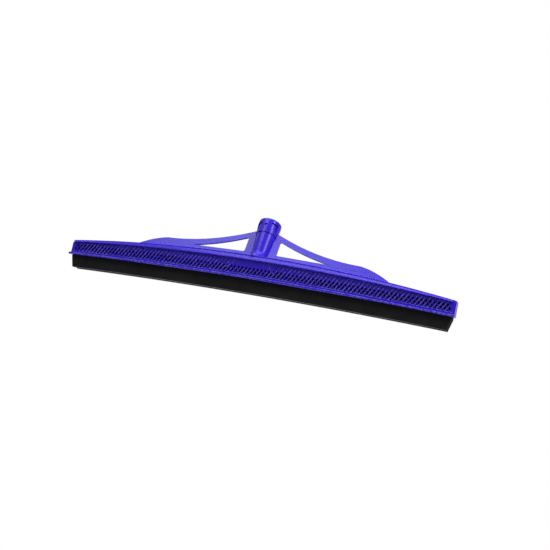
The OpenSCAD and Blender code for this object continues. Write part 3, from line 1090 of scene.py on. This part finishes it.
@dataclass
class HandleBracket(Moulding):
    """The bracket: a saddle in line with the top bar, a tapered tube with a flowing root, and two wings."""

    node: str = "handle_bracket"
    fillet: RootShape = RootShape()
    rim_t: float = 2.0
    tube_top_r: float = 14.0
    tube_foot_r: float = 11.5
    bore_r: float = 11.5
    bore_len: float = 24.0
    taper_len: float = 24.0
    bore_end_r: float = 8.5
    tube_sink: float = 5.0
    wing_t: float = 3.0
    wing_len: float = 187.0
    leaf_x: float = 141.0
    leaf_rise: float = 20.1
    leaf_drop: float = 19.8
    leaf_bow: float = 2.9
    wing_root: float = 7.9
    wing_sag: float = 7.3
    wing_sink: float = 1.2
    wing_bite: float = 1.0
    wing_bite_low: float = 1.8
    wing_foot: float = 5.0
    bow_steps: int = 16
    gap_near: float = 23.0
    gap_far: float = 101.0
    gap_low: float = 16.6
    gap_h: float = 23.0
    gap_dip: float = 1.8
    gap_sag: float = 2.7
    gap_round: float = 2.4
    edge_round: float = 0.6
    flat_angle: float = 0.5
    corner_slack: float = 0.01
    saddle_cuts: int = 12
    drill_len: float = 10.0
    drill_sides: int = 48
    turns: int = 96

    @property
    def seat_s(self) -> float:
        """Place of the saddle's seat on the socket's axis."""
        return self.sizes.seat_z / math.cos(math.radians(self.sizes.lean))

    @property
    def foot_s(self) -> float:
        """Place on the axis where the tube starts to widen."""
        return self.seat_s + self.tube_foot_r

    @property
    def on_axis(self) -> Matrix:
        """Turns a place beside the socket's axis, with its length as Z, into a place in the frame."""
        place = Matrix.Translation((0, self.sizes.mid_y + self.sizes.axis_back, 0))
        return place @ Matrix.Rotation(-math.radians(self.sizes.lean), 4, "X")

    def beside_axis(self, turn: float, radius: float, s: float) -> Vector:
        """Place at a turn round the socket's axis, from the front, at a radius and a length along it."""
        return self.on_axis @ Vector((radius * math.sin(turn), -radius * math.cos(turn), s))

    def tube_r(self, s: float) -> float:
        """Outer radius of the tube at a place on its axis."""
        share = min(max((s - self.foot_s) / (self.sizes.collar_s - self.foot_s), 0.0), 1.0)
        return self.tube_foot_r + share * (self.tube_top_r - self.tube_foot_r)

    def saddle(self) -> BMesh:
        """Shapes the saddle, with counterbores for its screws.

        Returns:
            The saddle, in metres.
        """
        sizes = self.sizes
        bar = top_bar(sizes, -sizes.saddle_w / 2, sizes.saddle_w / 2, self.saddle_cuts)
        rounded(bar, sharp_edges(bar, 60), self.edge_round / 2)
        drill = bmesh.new()
        z = sizes.saddle_screw_z + self.drill_len / 2
        radius = (sizes.screw_head_r + sizes.fit) * MM
        for side in (-1, 1):
            place = Vector((side * sizes.saddle_screw_x, sizes.mid_y - sizes.strip_y, z)) * MM
            bmesh.ops.create_cone(drill, cap_ends=True, segments=self.drill_sides, radius1=radius,
                                  radius2=radius, depth=self.drill_len * MM,
                                  matrix=Matrix.Translation(place))
        return drilled(bar, drill)

    def tube(self) -> BMesh:
        """Turns the tube with its tapered bore.

        Returns:
            The tube, in metres.
        """
        bore_s = self.sizes.mouth_s - self.bore_len
        floor_s = bore_s - self.taper_len
        start_s = floor_s - self.tube_sink
        top_s = self.sizes.mouth_s - self.rim_t
        outline = ((0, start_s), (self.tube_r(start_s), start_s), (self.tube_top_r, self.sizes.collar_s),
                   (self.tube_top_r, top_s), (self.bore_r, top_s), (self.bore_r, bore_s),
                   (self.bore_end_r, floor_s), (0, floor_s))
        bm = bmesh.new()
        verts = [bm.verts.new((r, 0, s)) for r, s in outline]
        edges = [bm.edges.new(pair) for pair in zip(verts, verts[1:])]
        bmesh.ops.spin(bm, geom=[*verts, *edges], cent=(0, 0, 0), axis=(0, 0, 1), angle=2 * math.pi,
                       steps=self.turns, use_merge=True)
        bmesh.ops.remove_doubles(bm, verts=bm.verts[:], dist=0.001)
        bmesh.ops.recalc_face_normals(bm, faces=bm.faces[:])
        bmesh.ops.transform(bm, matrix=Matrix.Scale(MM, 4) @ self.on_axis, verts=bm.verts[:])
        return bm

    def root(self) -> BMesh:
        """Shapes the root: a fillet that flows from the top of the bar into the foot of the tube.

        Returns:
            The root, in metres.
        """
        sizes, shape = self.sizes, self.fillet
        top = sizes.top_mid_z
        side_y = sizes.axis_back + self.foot_s * math.sin(math.radians(sizes.lean))
        rear_y = sizes.bar_half - shape.wide
        wide = self.tube_foot_r + shape.wide
        join_s = self.foot_s + shape.join_rise
        low_ring, inner_ring, skin = [], [], []
        for k in range(self.turns):
            turn = 2 * math.pi * k / self.turns
            ahead, behind = max(math.cos(turn), 0.0), max(-math.cos(turn), 0.0)
            y = sizes.mid_y + side_y - (side_y + shape.reach) * ahead + (rear_y - side_y) * behind
            wall = Vector(((wide + shape.flare) * math.sin(turn), y,
                           top - shape.wall_drop - shape.wall_drop_rear * behind))
            knee = Vector(((wide + shape.knee_wide) * math.sin(turn),
                           y + shape.knee_back_front * ahead + shape.knee_back_rear * behind,
                           top + shape.knee_rise - shape.knee_drop_rear * behind))
            lap_s = (self.foot_s - shape.lap_drop - shape.lap_drop_front * ahead
                     - shape.lap_drop_rear * behind)
            lap = self.beside_axis(turn, self.tube_r(lap_s) + shape.lap_skin, lap_s)
            join = self.beside_axis(turn, self.tube_r(join_s) + shape.join_skin, join_s)
            skin.append((wall, knee, lap, join))
            low_ring.append(Vector((wall.x, wall.y, sizes.seat_z + shape.seat_gap)))
            inner_ring.append(self.beside_axis(turn, self.bore_end_r + shape.inner_wall,
                                               self.foot_s + shape.inner_rise))
        rings = [low_ring]
        for k in range(shape.steps + 1):
            u = k / shape.steps
            shares = ((1 - u) ** 3, 3 * u * (1 - u) ** 2, 3 * u * u * (1 - u), u ** 3)
            rings.append([sum((share * point for share, point in zip(shares, points)), Vector())
                          for points in skin])
        rings.append(inner_ring)
        bm = bmesh.new()
        lofted(bm, [[point * MM for point in ring] for ring in rings])
        return bm

    def bowed(self, a: Vector, b: Vector, rise: float) -> list[Vector]:
        """Points along a shallow bow from a to b, which rises by an amount in the middle."""
        shares = [k / self.bow_steps for k in range(self.bow_steps + 1)]
        return [a.lerp(b, t) + Vector((0, 4 * rise * t * (1 - t))) for t in shares]

    def wing(self) -> BMesh:
        """Shapes the right wing: a plate with a leaf end and an open triangle.

        Returns:
            The wing, in metres.
        """
        sizes = self.sizes
        leaf_s = self.seat_s + self.leaf_rise
        start = Vector((self.bore_r + self.wing_bite, sizes.collar_s + self.wing_root))
        crest = Vector((self.leaf_x, leaf_s))
        tip = Vector((self.wing_len, leaf_s - self.leaf_drop))
        inner = self.bore_end_r + self.wing_bite_low
        rise = math.cos(math.radians(sizes.lean))
        places = (inner + (self.wing_len - inner) * (1 - k / self.bow_steps)
                  for k in range(self.bow_steps + 1))
        lower = [Vector((x, (sizes.top_z(x) - self.wing_sink) / rise)) for x in places]
        outline = [*self.bowed(start, crest, -self.wing_sag), *self.bowed(crest, tip, self.leaf_bow)[1:],
                   *lower, Vector((inner, self.foot_s + self.wing_foot)),
                   Vector((self.bore_r + self.wing_bite, sizes.mouth_s - self.bore_len))]
        gap_s = self.seat_s + self.gap_low
        near, top = Vector((self.gap_near, gap_s)), Vector((self.gap_near, gap_s + self.gap_h))
        far = Vector((self.gap_far, gap_s - self.gap_dip))
        gap = [near, *self.bowed(top, far, -self.gap_sag)]
        bm = bmesh.new()
        for points in (outline, gap):
            verts = [bm.verts.new((point.x, -self.wing_t / 2, point.y)) for point in points]
            for k in range(len(verts)):
                bm.edges.new((verts[k - 1], verts[k]))
        bmesh.ops.triangle_fill(bm, use_beauty=True, edges=bm.edges[:])
        back = bmesh.ops.extrude_face_region(bm, geom=bm.faces[:])["geom"]
        bmesh.ops.translate(bm, verts=new_verts(back), vec=(0, self.wing_t, 0))
        bmesh.ops.recalc_face_normals(bm, faces=bm.faces[:])
        bmesh.ops.dissolve_limit(bm, angle_limit=math.radians(self.flat_angle), verts=bm.verts[:],
                                 edges=bm.edges[:])
        through = (edge for edge in bm.edges
                   if abs(edge.verts[0].co.y - edge.verts[1].co.y) > self.wing_t / 2)
        corners = [edge for edge in through
                   if any((edge.verts[0].co.xz - point).length < self.corner_slack
                          for point in (near, top, far))]
        bmesh.ops.bevel(bm, geom=corners, offset=self.gap_round, offset_type="OFFSET", segments=5,
                        profile=0.5, affect="EDGES", clamp_overlap=False, material=-1)
        bmesh.ops.transform(bm, matrix=Matrix.Scale(MM, 4) @ self.on_axis, verts=bm.verts[:])
        rounded(bm, sharp_edges(bm, 50), self.edge_round, 3)
        return bm

    def build(self) -> BMesh:
        """Puts the bracket together.

        Returns:
            The bracket, in metres.
        """
        bm = self.saddle()
        wing = self.wing()
        for shape in (self.root(), self.tube(), mirrored(wing), wing):
            absorb(bm, shape)
        return bm


@dataclass
class Fasteners(SubAssembly):
    """Pan head screws with a cross recess: six through the grilles and two through the saddle."""

    screw_r: float = 1.5
    head_steps: tuple[tuple[float, float], ...] = ((1.0, 0.0), (1.0, 0.45), (0.93, 0.75), (0.78, 0.92),
                                                   (0.62, 1.0))
    recess_reach: float = 1.5
    recess_w: float = 0.55
    recess_h: float = 1.0
    bite: float = 7.0
    segments: int = 32
    crease: float = 35.0

    def screw(self, bm: BMesh, place: Matrix, length: float) -> None:
        """Adds one screw.

        Args:
            bm: The shape that it goes into.
            place: Where the head's seat lies, with the head along +Z, in millimetres.
            length: Length of the shank.
        """
        one = bmesh.new()
        head_r, head_h = self.sizes.screw_head_r, self.sizes.screw_head_h
        rings = []
        for radius, z in ((self.screw_r, 0.0), *((head_r * a, head_h * b) for a, b in self.head_steps)):
            verts = bmesh.ops.create_circle(one, segments=self.segments, radius=radius,
                                            matrix=Matrix.Translation((0, 0, z)))["verts"]
            rings.append({edge for vert in verts for edge in vert.link_edges})
        a, b = self.recess_w / 2, self.recess_reach
        arm = ((b, -a), (b, a), (a, a))
        outline = []
        for k in range(4):
            turn = Matrix.Rotation(k * math.pi / 2, 2)
            outline += [one.verts.new((*(turn @ Vector(point)), head_h)) for point in arm]
        cross = [one.edges.new((outline[k - 1], outline[k])) for k in range(len(outline))]
        for first, second in zip(rings, [*rings[1:], set(cross)]):
            bmesh.ops.bridge_loops(one, edges=[*first, *second])
        for loop, depth in ((cross, self.recess_h), (list(rings[0]), length)):
            wall = bmesh.ops.extrude_edge_only(one, edges=loop)["geom"]
            bmesh.ops.translate(one, verts=new_verts(wall), vec=(0, 0, -depth))
            bmesh.ops.contextual_create(one, geom=new_edges(wall))
        bmesh.ops.recalc_face_normals(one, faces=one.faces[:])
        bmesh.ops.transform(one, matrix=Matrix.Scale(MM, 4) @ place, verts=one.verts[:])
        absorb(bm, one)

    def dress(self, steel: bpy.types.Material) -> list[bpy.types.Object]:
        """Builds both sets of screws and fixes them to the head.

        Args:
            steel: Finish of the screws.

        Returns:
            The clamp screws and the saddle screws.
        """
        sizes = self.sizes
        clamp = bmesh.new()
        back = Matrix.Rotation(-math.pi / 2, 4, "X")
        for x in sizes.clamp_xs:
            seat = Matrix.Translation((x, sizes.mid_y + sizes.grille_out, sizes.screw_z(x)))
            self.screw(clamp, seat @ back, sizes.grille_out + sizes.grille_in - self.screw_r)
        saddle = bmesh.new()
        seat_z = sizes.saddle_screw_z
        for side in (-1, 1):
            seat = Matrix.Translation((side * sizes.saddle_screw_x, sizes.mid_y - sizes.strip_y, seat_z))
            self.screw(saddle, seat, seat_z - sizes.seat_z + self.bite)
        pieces = []
        for node, bm in (("clamp_screws", clamp), ("saddle_screws", saddle)):
            piece = self.finished(f"{node}_plated", bm, (steel,), "screw_steel")
            piece.data.set_sharp_from_angle(angle=math.radians(self.crease))
            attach(piece, "head")
            pieces.append(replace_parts(piece, node))
        return pieces


def direction(azimuth: float, elevation: float) -> Vector:
    """Direction away from the head, where azimuth 0 is the front and 90 the right."""
    turn, lift = math.radians(azimuth), math.radians(elevation)
    return Vector((math.sin(turn) * math.cos(lift), -math.cos(turn) * math.cos(lift), math.sin(lift)))


@dataclass(frozen=True)
class Softbox:
    """A large soft lamp, placed round the head and turned to it."""

    name: str
    azimuth: float
    elevation: float
    distance_m: float
    width_m: float
    height_m: float
    radiance: float

    def hang(self, target: Vector) -> bpy.types.Object:
        """Makes the lamp.

        Args:
            target: The point that it faces, in metres.

        Returns:
            The lamp.
        """
        away = direction(self.azimuth, self.elevation)
        data = bpy.data.lights.new(self.name, "AREA")
        data.shape = "RECTANGLE"
        data.size = self.width_m
        data.size_y = self.height_m
        data.energy = self.radiance * math.pi * self.width_m * self.height_m
        lamp = linked(self.name, data)
        lamp.location = target + away * self.distance_m
        lamp.rotation_euler = away.to_track_quat("Z", "Y").to_euler()
        return lamp


@dataclass
class Studio:
    """Camera, lamps, pale floor and white surroundings."""

    sizes: HeadSizes
    azimuth: float = 19.06
    elevation: float = -8.0
    roll: float = 11.87
    distance: float = 1137.4
    focal_px: float = 855.7
    target_x: float = 32.2
    target_z: float = 35.4
    sensor_w: float = 36.0
    clip_m: tuple[float, float] = (0.01, 50.0)
    floor_m: float = 6.0
    floor_dim: Colour = (0.22, 0.22, 0.22)
    floor_low: Colour = (0.80, 0.80, 0.80)
    floor_high: Colour = (0.84, 0.84, 0.84)
    floor_cloud_per_m: float = 12.0
    fade_start_m: float = 0.3
    fade_end_m: float = 0.75
    surround: float = 0.10
    lamps: tuple[Softbox, ...] = (
        Softbox("overhead_panel", 0.0, 78.0, 1.5, 1.4, 1.0, 3.8),
        Softbox("front_panel", -31.0, 47.0, 1.5, 0.8, 0.42, 7.4),
        Softbox("side_strip", 66.0, 34.0, 1.3, 0.14, 0.8, 34.0),
        Softbox("light_table", 0.0, -88.0, 1.2, 1.4, 0.8, 1.5),
        Softbox("back_fill", 190.0, 50.0, 1.6, 1.4, 0.8, 2.6),
    )

    def set_camera(self) -> bpy.types.Object:
        """Places the camera as the photograph's was.

        Returns:
            The camera.
        """
        roll = math.radians(self.roll)
        back = direction(self.azimuth, self.elevation)
        level = Vector((0, 0, 1)).cross(back).normalized()
        upright = back.cross(level)
        right = math.cos(roll) * level + math.sin(roll) * upright
        up = back.cross(right)
        data = bpy.data.cameras.new("camera")
        data.sensor_width = self.sensor_w
        data.lens = self.focal_px / PHOTO_SIDE_PX * self.sensor_w
        data.clip_start, data.clip_end = self.clip_m
        camera = linked("camera", data)
        place = (Vector((self.target_x, self.sizes.mid_y, self.target_z)) + self.distance * back) * MM
        camera.matrix_world = Matrix.Translation(place) @ Matrix((right, up, back)).transposed().to_4x4()
        bpy.context.scene.camera = camera
        return camera

    @staticmethod
    def seen(graph: Graph) -> Term:
        """1 for a ray that sees the surroundings: from the camera, a mirror or glass."""
        kinds = ("Is Camera Ray", "Is Glossy Ray", "Is Transmission Ray")
        return graph.largest(*(graph.add("ShaderNodeLightPath", output=kind) for kind in kinds))

    def lay_floor(self) -> bpy.types.Object:
        """Makes the pale floor, which fades outwards and lets the view and the low lamp through from below.

        Returns:
            The floor.
        """
        bm = bmesh.new()
        bmesh.ops.create_grid(bm, x_segments=1, y_segments=1, size=self.floor_m / 2)
        mesh = bpy.data.meshes.new("floor")
        bm.to_mesh(mesh)
        bm.free()
        floor = linked("floor", mesh)
        finish, graph = node_material("pale_floor")
        place = graph.place()
        clouds = graph.noise(place, self.floor_cloud_per_m, 3.0)
        pale = graph.blend(clouds, self.floor_low, self.floor_high)
        pale = graph.blend(self.seen(graph), self.floor_dim, pale)
        matt = graph.add("ShaderNodeBsdfDiffuse", None, {"Color": pale})
        clear = graph.add("ShaderNodeBsdfTransparent")
        below = graph.add("ShaderNodeNewGeometry", output="Backfacing")
        lamp_ray = graph.add("ShaderNodeLightPath", output="Is Shadow Ray")
        away = graph.add("ShaderNodeVectorMath", {"operation": "LENGTH"}, {0: place}, output="Value")
        faded = graph.step(away, self.fade_start_m, self.fade_end_m)
        open_share = graph.largest(below, lamp_ray, faded)
        surface = graph.add("ShaderNodeMixShader", None, {0: open_share, 1: matt, 2: clear})
        graph.add("ShaderNodeOutputMaterial", None, {"Surface": surface})
        mesh.materials.append(finish)
        return floor

    def set_world(self) -> None:
        """Surrounds the head with white that lights it softly."""
        world = bpy.data.worlds.new("white_surroundings")
        world.use_nodes = True
        bpy.context.scene.world = world
        graph = Graph(world.node_tree)
        strength = self.surround + (1 - self.surround) * self.seen(graph)
        white = (1.0, 1.0, 1.0, 1.0)
        light = graph.add("ShaderNodeBackground", None, {"Color": white, "Strength": strength})
        graph.add("ShaderNodeOutputWorld", None, {"Surface": light})

    def set_up(self) -> None:
        """Sets the whole studio."""
        self.set_camera()
        self.lay_floor()
        self.set_world()
        target = Vector((0, self.sizes.mid_y, self.target_z)) * MM
        for lamp in self.lamps:
            lamp.hang(target)
        bpy.context.scene.view_settings.view_transform = "Standard"


def main() -> None:
    """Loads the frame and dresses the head."""
    logging.basicConfig(level=logging.INFO, format="%(name)s: %(message)s")
    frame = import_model()
    sizes = HeadSizes()
    plastic = MouldedPlastic("head_plastic").material()
    collar_plastic = MouldedPlastic("collar_plastic", body=(0.025, 0.004, 0.49)).material()
    rubber = StripRubber("strip_rubber").material()
    # The cut underside's pale grey is partly the cut's own colour and partly painted light, since that
    # underside lies in shade.
    cut_rubber_painted_light = StripRubber("cut_rubber_painted_light", body=(0.24, 0.24, 0.24), dust=(0.32, 0.32, 0.32),
                             dull=0.8).material()
    steel = ZincSteel("screw_steel").material()
    BeamCore(frame, sizes).dress(plastic)
    for node in ("front_grille", "rear_grille"):
        Grille(frame, sizes, node, front=node == "front_grille").dress(plastic)
    HandleBracket(frame, sizes).dress(plastic)
    SocketCollar(frame, sizes).dress(collar_plastic)
    for side in StripSide:
        RubberStrip(frame, sizes, side).dress(rubber, cut_rubber_painted_light)
    Fasteners(frame, sizes).dress(steel)
    Studio(sizes).set_up()


if __name__ == "__main__":
    main()
